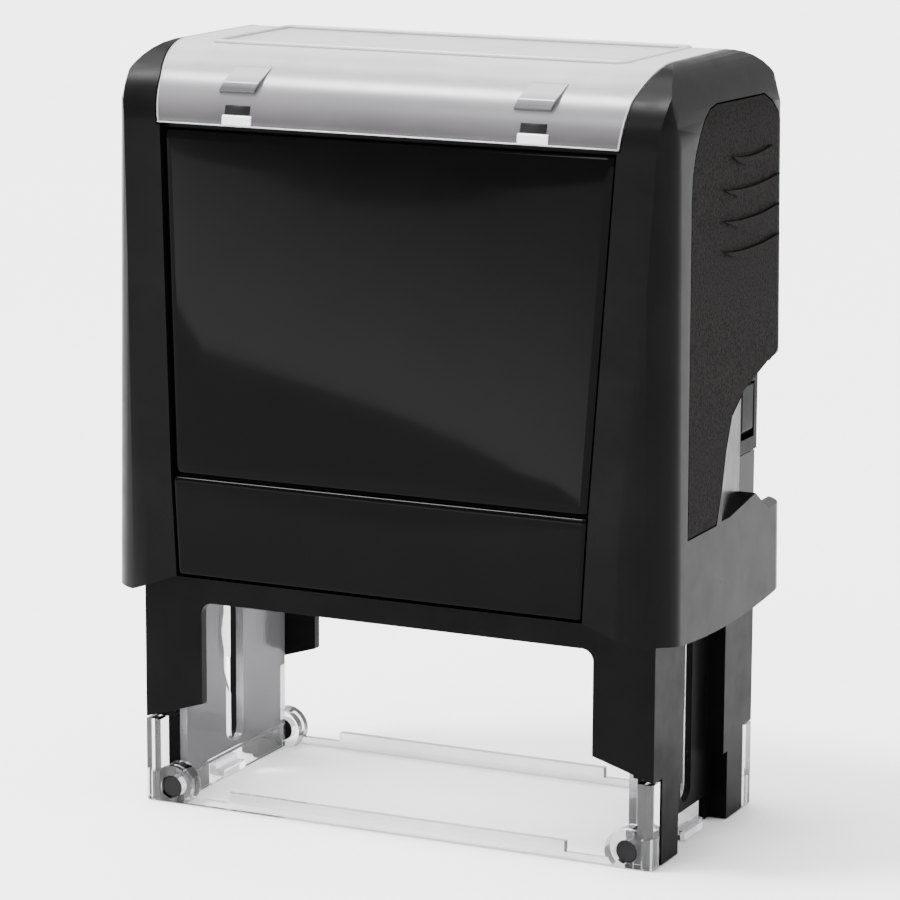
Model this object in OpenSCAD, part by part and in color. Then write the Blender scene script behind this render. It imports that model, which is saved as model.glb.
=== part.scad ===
// Self inking stamp with a flip mechanism.
// The printing plate rests face up under the ink pad. Pressing the cap down carries the
// plate's axle down the leg slots, while a lug in each cam plate turns it to face the paper.
// X runs left to right, -Y is the front, +Z is up. The origin is the middle of the foot print.

/* [Printing plate] */
// Width of the rubber plate, left to right
plate_w = 70; // [56:1:88]
// Depth of the rubber plate, front to back
plate_d = 25; // [20:1:30]
// Distance from the flip axle to the printing face
face_h = 8; // [7:0.5:10]
// Thickness of the rubber plate with its raised pattern
rubber_t = 2.4; // [1.8:0.2:3]
// Height of the raised pattern on the rubber plate
relief_h = 0.8; // [0.4:0.1:1.2]
// Thickness of the foam cushion under the rubber
cushion_t = 1.2; // [0.8:0.2:2]

/* [Flip mechanism] */
// Travel of the cap from rest to print
stroke = 36; // [32:1:44]
// Radius of the flip axle
axle_r = 2; // [1.5:0.1:2.5]
// Distance from the flip axle to the cam lug
lug_arm = 5.4; // [4.8:0.1:6.5]
// Radius of the cam lug
lug_r = 1.2; // [1:0.1:1.5]
// Depth of the cam groove in the clear cam plate
groove_depth = 0.9; // [0.7:0.1:1]
// Height of the printing face above the paper at full travel
press_gap = 0.3; // [0.2:0.1:0.6]

/* [Clearances] */
// Radial clearance of the axle in the yoke eyes
running_gap = 0.06; // [0.02:0.01:0.1]
// Side clearance of pieces that slide past each other
slide_gap = 0.3; // [0.25:0.05:0.5]
// Clearance between pieces of one body
fit_gap = 0.1; // [0.05:0.01:0.2]
// Clearance between the legs and the cap walls, left and right
cap_gap_x = 0.5; // [0.4:0.1:1]
// Clearance between the legs and the cap walls, front and back
cap_gap_y = 0.9; // [0.6:0.1:1.5]
// Clearance between the printing face and the ink pad, beyond the corner's rise
pad_gap = 0.4; // [0.3:0.05:0.8]

/* [Frame] */
// Room in front of and behind the turning plate
swing_room = 5.46; // [3:0.1:9]
// Thickness of the frame's front and back walls
wall_t = 1.8; // [1.2:0.1:2.6]
// Width of each leg seen from the front
leg_w = 11; // [9:0.5:13]
// Length of the end hubs beyond the rubber plate
hub_len = 6.3; // [5:0.1:9]
// Thickness of the clear cam plates
cam_plate_t = 1.4; // [1.3:0.1:2]
// Thickness of the web behind each leg channel
web_t = 1.2; // [1:0.1:1.6]
// Depth below the axle's rest height at which the crossbar ends
bar_drop = 8; // [7:0.5:12]
// Height of the inner end of the slanted leg bottom
leg_in_z = 18.3; // [16:0.1:20]
// Height of the outer end of the slanted leg bottom
leg_out_z = 14.9; // [12:0.1:16]
// Half width of the channel in the side of each leg
channel_half = 9.2; // [8.7:0.1:10]
// Height of the guide walls above the spring deck
guide_h = 21; // [14:1:30]
// Thickness of the spring deck
deck_t = 2; // [1.6:0.2:3]

/* [Clear base] */
// Radius of the corner bosses
boss_r = 3.8; // [3:0.1:4]
// Height of the boss centres
boss_z = 2.7; // [2:0.1:3]
// Radius of the plugs in the bosses
plug_r = 1.95; // [1.5:0.05:2.2]
// Distance of the boss centres from the outer side
boss_inset = 4.8; // [4.4:0.1:6]
// Width of the clear corner posts seen from the front
post_w = 2.8; // [2:0.1:3]
// Depth of the clear corner posts seen from the side
post_d = 2.8; // [2:0.1:3]
// Height of the front and back bars
bar_h = 1.2; // [0.8:0.1:2]
// Height of the sight ridges on the bars
ridge_h = 3; // [2:0.1:4]
// Half length of the front sight ridge
ridge_half = 31.7; // [20:0.1:33]
// How far the back sight ridge stops short at its right end
ridge_short = 11.2; // [0:0.1:20]

/* [Cap] */
// Thickness of the yoke arms
arm_t = 2.4; // [2:0.1:3.5]
// Thickness of the cheek walls at the cap's lower edge
cheek_t = 3.7; // [3.2:0.1:5]
// Inward lean of the cheeks from the lower edge to the shoulder
cheek_lean = 1.2; // [0:0.1:1.8]
// Thickness of the cap's front and back walls at the cheeks
cap_wall_y = 2.6; // [2.2:0.1:4]
// How far the front and back faces bulge beyond the cheeks' outer corners
bulge_y = 3.4; // [2.4:0.1:5]
// Clearance of the cap's lower edge above the table at full travel
foot_gap = 3; // [2:0.5:6]
// Height of the shoulder from the cover's lower edge to the top
shoulder_h = 12.8; // [11:0.1:16]
// Half width of the front panel at its top
panel_top_half = 41; // [32:0.5:48]
// Half width of the label band at its lower edge
panel_low_half = 37.1; // [30:0.1:44]
// Thickness of the glossy panels
panel_t = 1.6; // [1.2:0.1:2]
// Height of the label band
band_h = 17; // [12:0.5:22]
// Thickness of the clear cover
cover_t = 1.4; // [1:0.1:2]
// Thickness of the side grips
grip_t = 1; // [0.8:0.1:1.4]
// Height of the finger opening at the back, above the cartridge
finger_room = 18; // [12:0.5:20]

/* [Ink cartridge] */
// Height of the ink cartridge
tray_h = 8.7; // [7:0.1:12]
// How far the pad stands below the tray
pad_proud = 1.2; // [0.8:0.1:2]
// Margin of the ink pad around the rubber plate
pad_margin = 1.8; // [1:0.1:2.4]
// Length of the finger grips along the cartridge's sides
grip_len = 7.2; // [5:0.1:10]

/* [Return spring] */
// Mean radius of the return spring
spring_r = 6; // [5:0.5:7]
// Wire radius of the return spring
wire_r = 0.6; // [0.4:0.05:0.8]
// Number of turns of the return spring
spring_turns = 10; // [7:1:12]

/* [Hidden] */
$fn = 48;
eps = 0.01;
far = 200;

// Front-to-back chain
swing_r = norm([plate_d / 2, face_h]);
frame_y = swing_r + swing_room + wall_t;
wall_in_y = frame_y - wall_t;
cap_in_y = frame_y + cap_gap_y;
cheek_y = cap_in_y + cap_wall_y;
cap_y = cheek_y + bulge_y;

// Left-to-right chain, as half widths
hub_x = plate_w / 2 + hub_len;
cam_x = hub_x + slide_gap;
web_x = cam_x + cam_plate_t + fit_gap;
channel_x = web_x + web_t;
arm_x = channel_x + slide_gap;
frame_x = arm_x + arm_t + cap_gap_x;
window_x = frame_x - leg_w;
cap_in_x = frame_x + cap_gap_x;
cap_x = cap_in_x + cheek_t;
boss_x = frame_x - boss_inset;

// Yoke arms and the eyes at their ends
arm_gap = 1.2;
eye_wall = 4;
arm_half = channel_half - arm_gap;
eye_r = axle_r + eye_wall;

// Height chain
axle_low = face_h + press_gap;
axle_rest = axle_low + stroke;
face_rest = axle_rest + face_h;
turn_rate = stroke / PI;
flip_rise = max([for (a = [0:1:60]) face_h * cos(a) + plate_d / 2 * sin(a)
    - turn_rate * a * PI / 180 - face_h]);
pad_z = face_rest + flip_rise + pad_gap;
tray_z = pad_z + pad_proud;
tray_top = tray_z + tray_h;
slot_low = pad_z - slide_gap;
slot_high = tray_top + slide_gap;
deck_z = slot_high + fit_gap;
deck_top = deck_z + deck_t;
frame_top = deck_top + guide_h;
stop_gap = 1;
yoke_z = frame_top + stroke + stop_gap;
yoke_t = 2.6;
yoke_top = yoke_z + yoke_t;
cap_deck_t = 2.2;
cap_deck = yoke_top + cap_deck_t;
card_t = 0.6;
card_room = 2;
cover_in_z = cap_deck + card_t + card_room;
cap_top = cover_in_z + cover_t;
skirt_z = cap_top - shoulder_h;
crossbar_z = axle_rest - bar_drop;
cap_low = stroke + foot_gap;
band_lift = 3.7;
panel_low = cap_low + band_lift;
band_top = panel_low + band_h;
panel_gap = 0.3;

// Cut-outs at the back
back_drop = 4.3;
notch_gap = 0.9;
back_low = slot_low - back_drop;
back_high = tray_top + finger_room;
notch_y = frame_y - grip_len - notch_gap;
back_panel_low = back_high + 3;

// Curves shared by the cap and the cover
arc_steps = 10;
shoulder_run = 15.4;
lean_front = 2.7;
crown_y = cap_y - lean_front - shoulder_run;

// Half of the cap's side outline above the skirt, set in by a distance
function shoulder_arc(inset) = [for (i = [0:arc_steps])
    let (a = i * 90 / arc_steps)
    [crown_y + (shoulder_run - inset) * cos(a), skirt_z + (shoulder_h - inset) * sin(a)]];

// The outline mirrored about the middle
function mirrored(points) = concat(points,
    [for (i = [len(points) - 1:-1:0]) [-points[i][0], points[i][1]]]);

// Side outline of the cap, set in by a distance, from a given lower height
function side_outline(inset, low) = mirrored(concat(
    [[cap_y - inset, low], [cap_y - inset, band_top]], shoulder_arc(inset)));

// Front outline of the cap with its leaning cheeks and rounded shoulders
shoulder_w = 6;
shoulder_drop = 13;
cheek_foot = cap_low - 4;
function shoulder_point(a) =
    [cap_x - cheek_lean - shoulder_w * (1 - cos(a)), cap_top - shoulder_drop * (1 - sin(a))];
function front_outline() = mirrored(concat([[cap_x, cheek_foot]],
    [for (i = [0:arc_steps]) shoulder_point(i * 90 / arc_steps)]));

// Half width of the cover's sides at the skirt, and how far they spread up to the top
cover_low_half = panel_top_half + 0.7;
cover_flare = 2.7;
cover_bend = 0.6;

module along_x(half) rotate([90, 0, 90]) linear_extrude(2 * half, center = true) children();
module along_y(low, high) translate([0, high, 0]) rotate([90, 0, 0]) linear_extrude(high - low) children();
module both_sides() { children(); mirror([1, 0, 0]) children(); }
module four_corners() { both_sides() { children(); mirror([0, 1, 0]) children(); } }
module box(low, high) translate(low) cube(high - low);
module rod_x(low, high, r, y = 0, z = 0)
    translate([low, y, z]) rotate([0, 90, 0]) cylinder(h = high - low, r = r);
module rod_y(low, high, r, x = 0, z = 0)
    translate([x, low, z]) rotate([-90, 0, 0]) cylinder(h = high - low, r = r);

// ---------------------------------------------------------------- frame

window_corner_r = 2;

// Front or back wall seen from the front: crossbar with two slanted legs
module wall_face() {
    difference() {
        polygon([[-frame_x, leg_out_z], [-window_x, leg_in_z], [window_x, leg_in_z], [frame_x, leg_out_z],
            [frame_x, frame_top], [-frame_x, frame_top]]);
        translate([-window_x, 0]) square([2 * window_x, crossbar_z - window_corner_r]);
        translate([-window_x + window_corner_r, 0])
            square([2 * (window_x - window_corner_r), crossbar_z]);
        for (side = [-1, 1])
            translate([side * (window_x - window_corner_r), crossbar_z - window_corner_r])
                circle(window_corner_r);
    }
}

rail_foot_in = channel_half + 1.8;
flare_z = 12;
slit = 1;
axle_slot_half = axle_r + slide_gap;
lock_y = 17.6;
lock_half = 2.7;
lock_z = deck_top + 0.6;
lock_h = 9;
flange_t = 1.2;
flange_rim = 1.2;
ledge_h = 2.2;
channel_foot = 3;
seat_r = 10;
seat_sink = 0.6;
seat_t = 1.2;

// One side of the frame: two rails joined by the slotted web of the channel
module frame_side() {
    difference() {
        union() {
            box([web_x, -wall_in_y, 0], [frame_x, wall_in_y, frame_top]);
            box([cam_x + fit_gap, -wall_in_y, slot_low - ledge_h],
                [web_x + eps, wall_in_y, tray_z - slide_gap]);
        }
        box([channel_x, -channel_half, -eps], [far, channel_half, far]);
        box([channel_x, -rail_foot_in, -eps], [far, rail_foot_in, flare_z]);
        box([web_x - eps, -channel_half, -eps], [far, channel_half, bar_h + channel_foot]);
        four_posts_cut();
        rod_x(0, far, axle_slot_half, 0, axle_low - slide_gap);
        rod_x(0, far, axle_slot_half, 0, axle_rest + slide_gap);
        box([0, -axle_slot_half, axle_low - slide_gap], [far, axle_slot_half, axle_rest + slide_gap]);
        box([0, notch_y, slot_low], [far, far, slot_high]);
    }
}

// Room for the clear corner posts with a narrow slit beside them
module four_posts_cut() {
    for (side = [-1, 1])
        mirror([0, side < 0 ? 1 : 0, 0])
            box([0, frame_y - post_d - slit, -eps], [far, far, leg_out_z]);
}

module frame_shell() color([0.09, 0.09, 0.1]) {
    difference() {
        union() {
            along_y(-frame_y, -wall_in_y) wall_face();
            along_y(wall_in_y, frame_y) wall_face();
            both_sides() frame_side();
            box([-web_x - eps, -wall_in_y - eps, deck_z], [web_x + eps, wall_in_y + eps, deck_top]);
        }
        // Slot that the cartridge slides out of, at the back
        box([-far, wall_in_y - eps, slot_low], [far, far, slot_high]);
        // Pockets of the two lock buttons
        both_sides()
            box([web_x - 1, lock_y - lock_half - slide_gap, lock_z - slide_gap],
                [far, lock_y + lock_half + slide_gap, lock_z + lock_h + slide_gap]);
        // Dimple that centres the spring seat
        translate([0, 0, deck_top - seat_sink]) cylinder(h = 1, r = seat_r + fit_gap);
    }
}

// ---------------------------------------------------------------- clear base

rail_w = 1.6;
rail_h = 4;
plug_len = 2.6;
plug_sink = 0.4;
boss_len = post_d + slit - fit_gap;
bar_t = 1.2;
ridge_t = 1.4;
post_gap = 0.3;
sill_t = 1;
clip_w = 8;
clip_t = 1.2;
clip_x = frame_x - 1.6;
clip_h = axle_low - eye_r - slide_gap;
foot_h = 5;
foot_skin = 0.6;

module clear_base() color([0.8, 0.82, 0.84, 0.5]) {
    difference() {
        union() {
            four_corners() {
                box([frame_x - post_w, frame_y - post_d, 0], [frame_x, frame_y, leg_out_z - post_gap]);
                box([boss_x - 0.5, frame_y - post_d, 0], [frame_x - eps, frame_y, boss_z]);
                rod_y(frame_y - boss_len, frame_y, boss_r, boss_x, boss_z);
            }
            for (side = [-1, 1]) {
                low = side < 0 ? -frame_y : frame_y - bar_t;
                box([-boss_x, low, 0], [boss_x, low + bar_t, bar_h]);
            }
            box([-ridge_half, -frame_y, bar_h - eps], [ridge_half, -frame_y + ridge_t, ridge_h]);
            box([-ridge_half, frame_y - ridge_t, bar_h - eps], [ridge_half - ridge_short, frame_y, ridge_h]);
            both_sides() {
                box([cam_x, -frame_y + boss_len - 1, 0],
                    [cam_x + cam_plate_t, frame_y - boss_len + 1, rail_h]);
                box([cam_x, -clip_w / 2, 0], [clip_x, clip_w / 2, sill_t]);
                box([clip_x - clip_t, -clip_w / 2, 0], [clip_x, clip_w / 2, clip_h]);
            }
        }
        four_corners() rod_y(frame_y - plug_len, far, plug_r + fit_gap, boss_x, boss_z);
        box([-far, -far, -far], [far, far, 0]);
        // Seats of the rubber feet beside the bosses
        four_corners()
            box([frame_x - post_w + foot_skin, frame_y - post_d - eps, -eps],
                [frame_x - foot_skin, frame_y - foot_skin, foot_h + fit_gap]);
    }
}

module corner_feet() color([0.1, 0.1, 0.11])
    four_corners()
        box([frame_x - post_w + foot_skin + fit_gap, frame_y - post_d, 0],
            [frame_x - foot_skin - fit_gap, frame_y - foot_skin - fit_gap, foot_h]);

module boss_plugs() color([0.1, 0.1, 0.11])
    four_corners() rod_y(frame_y - plug_len + fit_gap, frame_y - plug_sink, plug_r, boss_x, boss_z);

// Centre line of the cam groove: the lug's place while the axle travels down
function cam_point(a) = [-lug_arm * sin(a), axle_rest - turn_rate * a * PI / 180 - lug_arm * cos(a)];
function cam_normal(a) =
    let (along = [-lug_arm * cos(a), -turn_rate + lug_arm * sin(a)])
    [-along[1], along[0]] / norm(along);
cam_steps = 24;
groove_half = lug_r + slide_gap;

module cam_groove() {
    turns = [for (i = [0:cam_steps]) i * 180 / cam_steps];
    polygon(concat([for (a = turns) cam_point(a) + groove_half * cam_normal(a)],
        [for (i = [cam_steps:-1:0]) cam_point(turns[i]) - groove_half * cam_normal(turns[i])]));
    for (a = [0, 180]) translate(cam_point(a)) circle(groove_half);
}

cam_plate_y = frame_y - boss_len - fit_gap;

module cam_plate() {
    difference() {
        box([cam_x, -cam_plate_y, rail_h + fit_gap],
            [cam_x + cam_plate_t, cam_plate_y, slot_low - ledge_h - fit_gap]);
        rod_x(0, far, axle_slot_half, 0, axle_low - slide_gap);
        rod_x(0, far, axle_slot_half, 0, axle_rest + slide_gap);
        box([0, -axle_slot_half, axle_low - slide_gap], [far, axle_slot_half, axle_rest + slide_gap]);
        translate([cam_x + groove_depth - far / 2, 0, 0]) along_x(far / 2) cam_groove();
    }
}

module cam_plate_right() color([0.8, 0.82, 0.84, 0.5]) cam_plate();
module cam_plate_left() color([0.8, 0.82, 0.84, 0.5]) mirror([1, 0, 0]) cam_plate();

// ---------------------------------------------------------------- spring

seat_h = 3;
seat_wall = 1.4;
spring_inside = spring_r - wire_r - slide_gap;

module spring_seat() color([0.2, 0.2, 0.22]) {
    difference() {
        union() {
            translate([0, 0, deck_top - seat_sink]) cylinder(h = seat_sink + seat_t, r = seat_r);
            translate([0, 0, deck_top]) cylinder(h = seat_t + seat_h, r = spring_inside);
        }
        translate([0, 0, deck_top + seat_t]) cylinder(h = far, r = spring_inside - seat_wall);
    }
}

spring_low = deck_top + seat_t + wire_r + fit_gap;
spring_high = yoke_z - wire_r - fit_gap;
ring_steps = 14;
wire_sides = 6;
ring_count = spring_turns * ring_steps;

coil_rise = (spring_high - spring_low) / ring_count;

// Point j of the wire's ring i along the coil
function coil_point(i, j) =
    let (a = i * 360 / ring_steps, b = j * 360 / wire_sides, r = spring_r + wire_r * cos(b))
    [r * cos(a), r * sin(a), spring_low + coil_rise * i + wire_r * sin(b)];

module return_spring() color([0.7, 0.7, 0.72])
    polyhedron(
        points = [for (i = [0:ring_count]) for (j = [0:wire_sides - 1]) coil_point(i, j)],
        faces = concat(
            [[for (j = [0:wire_sides - 1]) j]],
            [for (i = [0:ring_count - 1]) for (j = [0:wire_sides - 1])
                let (k = (j + 1) % wire_sides, a = i * wire_sides, b = a + wire_sides)
                each [[a + j, b + j, b + k], [a + j, b + k, a + k]]],
            [[for (j = [wire_sides - 1:-1:0]) ring_count * wire_sides + j]]));

// ---------------------------------------------------------------- ink cartridge

tray_x = web_x - fit_gap - slide_gap;
tray_front = -wall_in_y + slide_gap;
tray_floor = 2.4;
handle_x = frame_x - 0.3;
handle_y = frame_y - 0.1;
handle_z = tray_z + 0.1;
handle_t = 2.2;
pad_x = plate_w / 2 + pad_margin;
pad_y = plate_d / 2 + pad_margin;
pad_t = pad_proud + tray_h - tray_floor;

groove_off = 2.6;
groove_w = 1.8;
groove_skin = 1.4;
grip_line_count = 3;
grip_line_r = 0.45;
grip_line_pitch = 1.5;
grip_line_y = frame_y - grip_len + 1.3;

module ink_tray() color([0.12, 0.12, 0.13]) {
    difference() {
        box([-tray_x, tray_front, tray_z], [tray_x, handle_y - handle_t - fit_gap, tray_top]);
        box([-pad_x - fit_gap, -pad_y - fit_gap, tray_z - eps],
            [pad_x + fit_gap, pad_y + fit_gap, pad_z + pad_t + fit_gap]);
        // Weight-saving grooves on both sides of the pad
        for (side = [-1, 1])
            translate([0, side * (pad_y + groove_off), 0])
                box([-pad_x, -groove_w / 2, tray_z + groove_skin], [pad_x, groove_w / 2, far]);
    }
}

module ink_pad() color([0.12, 0.1, 0.35])
    box([-pad_x, -pad_y, pad_z], [pad_x, pad_y, pad_z + pad_t]);

module cartridge_handle() color([0.03, 0.03, 0.035]) {
    box([-handle_x, handle_y - handle_t, handle_z], [handle_x, handle_y, tray_top]);
    both_sides()
        difference() {
            box([tray_x + fit_gap, frame_y - grip_len, handle_z],
                [handle_x, handle_y - handle_t + eps, tray_top]);
            for (i = [0:grip_line_count - 1])
                rod_x(handle_x - slide_gap, far, grip_line_r, grip_line_y + i * grip_line_pitch, tray_z + 1);
        }
}

// ---------------------------------------------------------------- lock buttons

button_chamfer = 1.2;
button_back = web_x - slide_gap - flange_t;

// Button in the frame's side, kept in by a flange on the inner side of the web
module lock_button() {
    along_y(lock_y - lock_half, lock_y + lock_half)
        polygon([[button_back, lock_z], [frame_x - button_chamfer, lock_z],
            [frame_x, lock_z + button_chamfer], [frame_x, lock_z + lock_h],
            [button_back, lock_z + lock_h]]);
    box([button_back, lock_y - lock_half - flange_rim, lock_z],
        [web_x - slide_gap, lock_y + lock_half, lock_z + lock_h + flange_rim]);
}

module lock_button_left() color([0.1, 0.1, 0.11]) mirror([1, 0, 0]) lock_button();
module lock_button_right() color([0.1, 0.1, 0.11]) lock_button();

// ---------------------------------------------------------------- cap

plan_steps = 7;
plan_over = 0.1;
corner_x = panel_top_half + 0.8;
corner_over = 0.05;
corner_run = cap_x + corner_over - corner_x;
corner_drop = cap_y - cheek_y + 4.6;
lean_angle = atan(cheek_lean / (cap_top - shoulder_drop - cheek_foot));

// Right half of the cap from above: flat front and back, rounded down to the cheek
module cap_plan() {
    polygon(concat([[-far, -cap_y - plan_over]],
        [for (i = [0:plan_steps])
            let (a = i * 90 / plan_steps)
            [corner_x + corner_run * sin(a), corner_drop * (1 - cos(a)) - cap_y - plan_over]],
        [for (i = [plan_steps:-1:0])
            let (a = i * 90 / plan_steps)
            [corner_x + corner_run * sin(a), cap_y + plan_over - corner_drop * (1 - cos(a))]],
        [[-far, cap_y + plan_over]]));
}

// Prism over the plan, leaning inward by an angle through a point of the right cheek
module leaning_plan(place, angle) {
    translate([place[0], 0, place[1]])
        rotate([0, -angle, 0])
            translate([-cap_x, 0, -far / 2])
                linear_extrude(2 * far) cap_plan();
}

// Prism that carries the rounded corners around the shoulder at one angle of its arc
module shoulder_plan(a) {
    leaning_plan(shoulder_point(a), atan(shoulder_w * sin(a) / (shoulder_drop * cos(a))));
}

module cap_solid() {
    intersection() {
        along_x(cap_x + 1) polygon(side_outline(0, cheek_foot));
        along_y(-far, far) polygon(front_outline());
        leaning_plan([cap_x, cheek_foot], lean_angle);
        shoulder_plan(30);
        shoulder_plan(52);
        shoulder_plan(70);
        mirror([1, 0, 0]) leaning_plan([cap_x, cheek_foot], lean_angle);
        mirror([1, 0, 0]) shoulder_plan(30);
        mirror([1, 0, 0]) shoulder_plan(52);
        mirror([1, 0, 0]) shoulder_plan(70);
    }
}

// Sides of the cover seen from the front, widened by a distance
module cover_face(extra, low) {
    top_half = cover_low_half + cover_flare + extra;
    polygon(mirrored([[cover_low_half + extra, low],
        [cover_low_half + cover_flare / 3 + extra, skirt_z + shoulder_h * cover_bend],
        [top_half, cap_top], [top_half, cap_top + 2]]));
}

// Space that the cover and the card take from the cap
module cover_zone() {
    difference() {
        along_y(-far, far) cover_face(panel_gap, skirt_z - panel_gap);
        along_x(far) polygon(side_outline(cover_t + panel_gap, cap_low));
    }
    box([-card_x - panel_gap, -card_y - panel_gap, cap_deck],
        [card_x + panel_gap, card_y + panel_gap, far]);
}

// Panel outline seen from the front, between two heights
panel_top = skirt_z - 0.9;
function panel_half(z) =
    panel_low_half + (panel_top_half - panel_low_half) * (z - panel_low) / (panel_top - panel_low);
module panel_face(low, high, extra) {
    polygon(mirrored([[panel_half(low) + extra, low - extra], [panel_half(high) + extra, high + extra]]));
}

// Skin of the cap's front between two depths below the surface
module skin(outer, inner) {
    difference() {
        along_x(far) polygon(side_outline(outer, cap_low - 10));
        along_x(far + 1) polygon(side_outline(inner, cap_low - 11));
        box([-far, 0, -far], [far, far, far]);
    }
}

card_x = 36.5;
card_y = 13;
grip_front = 18.4;
grip_top = skirt_z + 5.6;
grip_low = cap_low + 16.6;
edge_arch = 1.6;
arch_steps = 5;
cheek_foot_w = 5.2;

// Points on an arc about a centre, from one angle to another
function arc(centre, rx, rz, from, to, steps) = [for (i = [0:steps])
    let (a = from + (to - from) * i / steps)
    centre + [rx * cos(a), rz * sin(a)]];

// Outline of the side grip seen from the right, grown by a distance: two rounded upper
// corners, then the curved edge along the finger scoop
grip_bend = 14;
grip_corner = 12;
grip_front_y = -5;
grip_back_y = 13;
function grip_outline(grow) = concat(
    [[-grip_front - grow, grip_low - grow]],
    arc([grip_front_y, grip_top - grip_bend], grip_corner + grow, grip_bend + grow, 180, 90, 6),
    arc([grip_back_y, grip_top - grip_bend], grip_corner + grow, grip_bend + grow, 75, 0, 5),
    [[grip_back_y + grip_corner + grow, back_high + 1.2 - grow], [19, back_high - 1 - grow],
     [5.4 + grow / 2, back_high - 5 - grow], [0.4 + grow, back_high - 8.2],
     [-2.2 + grow, back_high - 13.6], [-4.1 + grow, back_high - 20.2], [-6.2 + grow, grip_low - grow]]);

// Scoop in each cheek that lets fingers reach the cartridge
module finger_scoop() {
    intersection() {
        translate([0, 0, grip_low - 2]) linear_extrude(far)
            polygon([[cap_in_x - eps, notch_y - 1], [cap_in_x + 1.1, notch_y - 8], [cap_x - 0.5, -3.4],
                [cap_x + 2, -6], [cap_x + 2, far], [cap_in_x - eps, far]]);
        along_x(far) polygon([[-8, grip_low], [-3.6, back_high - 20.2], [-1.6, back_high - 13.6],
            [1, back_high - 8.2], [6, back_high - 5], [19.4, back_high - 1.2], [cap_y + 2, back_high + 0.6],
            [cap_y + 2, back_low], [cheek_y, back_low + 0.4], [21.6, back_low + 3],
            [12, grip_low + 1.8], [0, grip_low]]);
    }
}

module cap_shell() color([0.1, 0.1, 0.11]) {
    difference() {
        cap_solid();
        // Room for the frame
        box([-cap_in_x, -cap_in_y, 0], [cap_in_x, cap_in_y, yoke_z - stop_gap / 2]);
        box([-cap_in_x, -arm_half - fit_gap, 0], [cap_in_x, arm_half + fit_gap, yoke_top]);
        // Lower edge: arched at the sides, high under the label band, slanted below the cheeks
        along_x(far) polygon(concat([[far, 0], [-far, 0], [-far, cap_low]],
            [for (i = [-arch_steps:arch_steps])
                [i * cheek_y / arch_steps, cap_low - edge_arch * (1 - pow(i / arch_steps, 2))]],
            [[far, cap_low]]));
        along_y(-far, -cap_in_y + eps)
            polygon(mirrored([[cap_x - cheek_foot_w, 0], [cap_x - cheek_foot_w, cap_low],
                [panel_low_half + panel_gap, panel_low - panel_gap]]));
        // Seats of the front panels, the back panel and the cover
        intersection() {
            skin(-1, panel_t + fit_gap);
            along_y(-far, 0) panel_face(panel_low - 1, skirt_z + 1, panel_gap);
        }
        mirror([0, 1, 0])
            intersection() {
                skin(-1, panel_t + fit_gap);
                along_y(-far, 0) panel_face(back_panel_low, skirt_z + 1, panel_gap);
            }
        cover_zone();
        // Finger opening across the back and a scoop in each cheek
        box([-cap_in_x, 0, back_low], [cap_in_x, far, back_high]);
        both_sides() finger_scoop();
        // Pockets of the side grips
        both_sides() grip_pocket(grip_t, panel_gap);
    }
}

// Slab that follows the leaning outer face of a cheek, cut to the grip's outline
module grip_pocket(depth, grow) {
    intersection() {
        along_y(-far, far)
            polygon([[cap_x - depth, cheek_foot], [far, cheek_foot], [far, cap_top],
                [cap_x - cheek_lean - depth - 1.6, cap_top - 1],
                [cap_x - cheek_lean - depth, cap_top - shoulder_drop]]);
        along_x(far) polygon(grip_outline(grow));
    }
}

step_in = 0.4;
rib_count = 4;
rib_pitch = 5.1;
rib_drop = 9;
rib_h = 0.5;
rib_sag = 2.2;
rib_w = 1.5;
rib_y = 8.8;
rib_half = 12.6;
top_rib_half = 9;
rib_back = grip_t / 4;

// Crescent with a given half length, lower sag and width at its middle
module crescent(half, sag, width) {
    upper = sag - width;
    r_low = (half * half + sag * sag) / (2 * sag);
    r_high = (half * half + upper * upper) / (2 * upper);
    difference() {
        translate([0, r_low - sag]) circle(r_low);
        translate([0, r_high - upper]) circle(r_high);
    }
}

// Half width of the cap at a height on the leaning part of its cheeks
function cheek_face(z) =
    cap_x - cheek_lean * (z - cheek_foot) / (cap_top - shoulder_drop - cheek_foot);

module grip_right() color([0.2, 0.19, 0.19]) {
    intersection() {
        grip_pocket(grip_t - fit_gap, 0);
        difference() {
            cap_solid();
            finger_scoop();
        }
    }
    for (i = [0:rib_count - 1])
        let (z = grip_top - rib_drop - i * rib_pitch, face = cheek_face(z))
            translate([face + rib_h / 2 - rib_back, rib_y, z])
                along_x(rib_h / 2 + rib_back) crescent(i == 0 ? top_rib_half : rib_half, rib_sag, rib_w);
}

module grip_left() mirror([1, 0, 0]) grip_right();

module front_panel() color([0.02, 0.02, 0.025])
    intersection() {
        skin(step_in, panel_t);
        along_y(-far, 0) panel_face(band_top + 0.2, panel_top, 0);
    }

module front_label_band() color([0.03, 0.03, 0.035])
    intersection() {
        skin(0, panel_t);
        along_y(-far, 0) panel_face(panel_low, band_top - 0.1, 0);
    }

module back_panel() color([0.02, 0.02, 0.025])
    mirror([0, 1, 0])
        intersection() {
            skin(0, panel_t);
            along_y(-far, 0) panel_face(back_panel_low, panel_top, 0);
        }

// ---------------------------------------------------------------- yoke

stub_h = 2;
yoke_hole_x = 26;
yoke_hole_r = 3;
axle_short = 0.2;

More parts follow.
